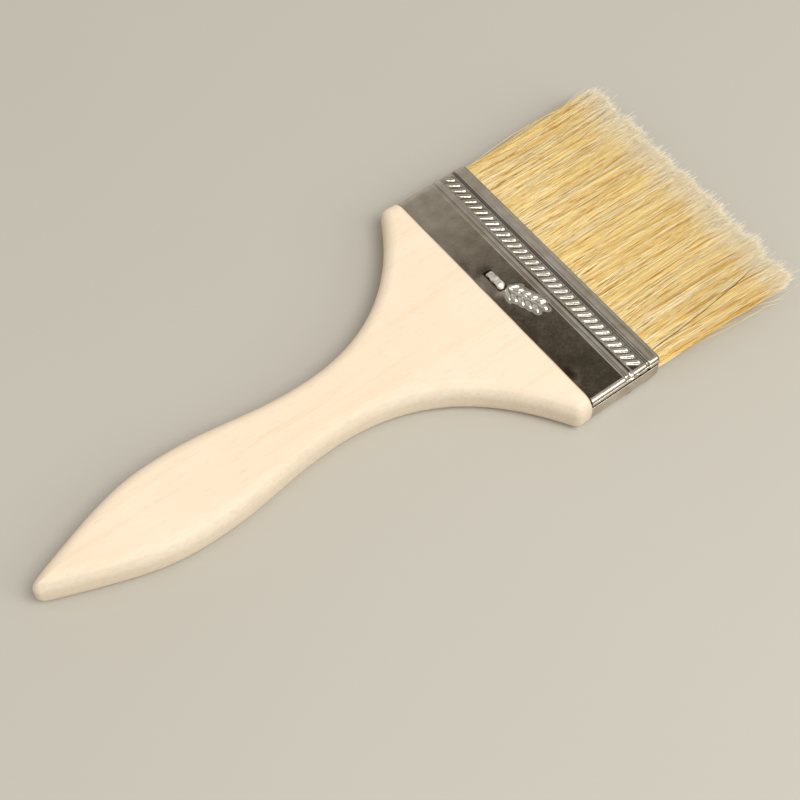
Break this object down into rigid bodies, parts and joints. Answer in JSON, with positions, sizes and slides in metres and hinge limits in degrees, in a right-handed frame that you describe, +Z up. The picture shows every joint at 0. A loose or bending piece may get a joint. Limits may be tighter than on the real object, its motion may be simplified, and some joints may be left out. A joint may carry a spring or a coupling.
{
  "type": "pastry brush",
  "caption": "Flat pastry brush with a waisted wooden paddle handle, a stamped tinplate ferrule and a wide row of natural bristles that bend and spring back.",
  "frame": {"origin": "on the surface the brush lies on, under the middle of its whole length and width", "axes": "+X runs from the handle's tail to the bristle tips, +Y across the width, +Z up out of the front face, away from the worktop it lies on"},
  "size_m": [0.1642, 0.0652, 0.0075],
  "materials": {
    "handle_wood": "unfinished, sanded",
    "tinplate": "bright tinplate, lightly mottled",
    "staple_steel": "bright wire",
    "resin": "cured resin",
    "spacer_wood": "unfinished",
    "bristle": "natural bristle with pale split tips"
  },
  "bodies": {
    "grip": {"handle": "handle_wood", "ferrule": "tinplate", "staple_front": "staple_steel", "staple_back": "staple_steel", "setting_resin": "resin", "spacer_strip": "spacer_wood", "bristle_roots_front": "bristle", "bristle_roots_back": "bristle"},
    "bristles": {"bristles_front": "bristle", "bristles_back": "bristle"}
  },
  "joints": [
    {"name": "bristle_flex", "type": "hinge", "parent": "grip", "child": "bristles", "pos_m": [0.0456, 0, 0.00375], "axis": [0, -1, 0], "range_deg": [-40, 40], "stiffness_Nm_per_rad": 0.12}
  ]
}
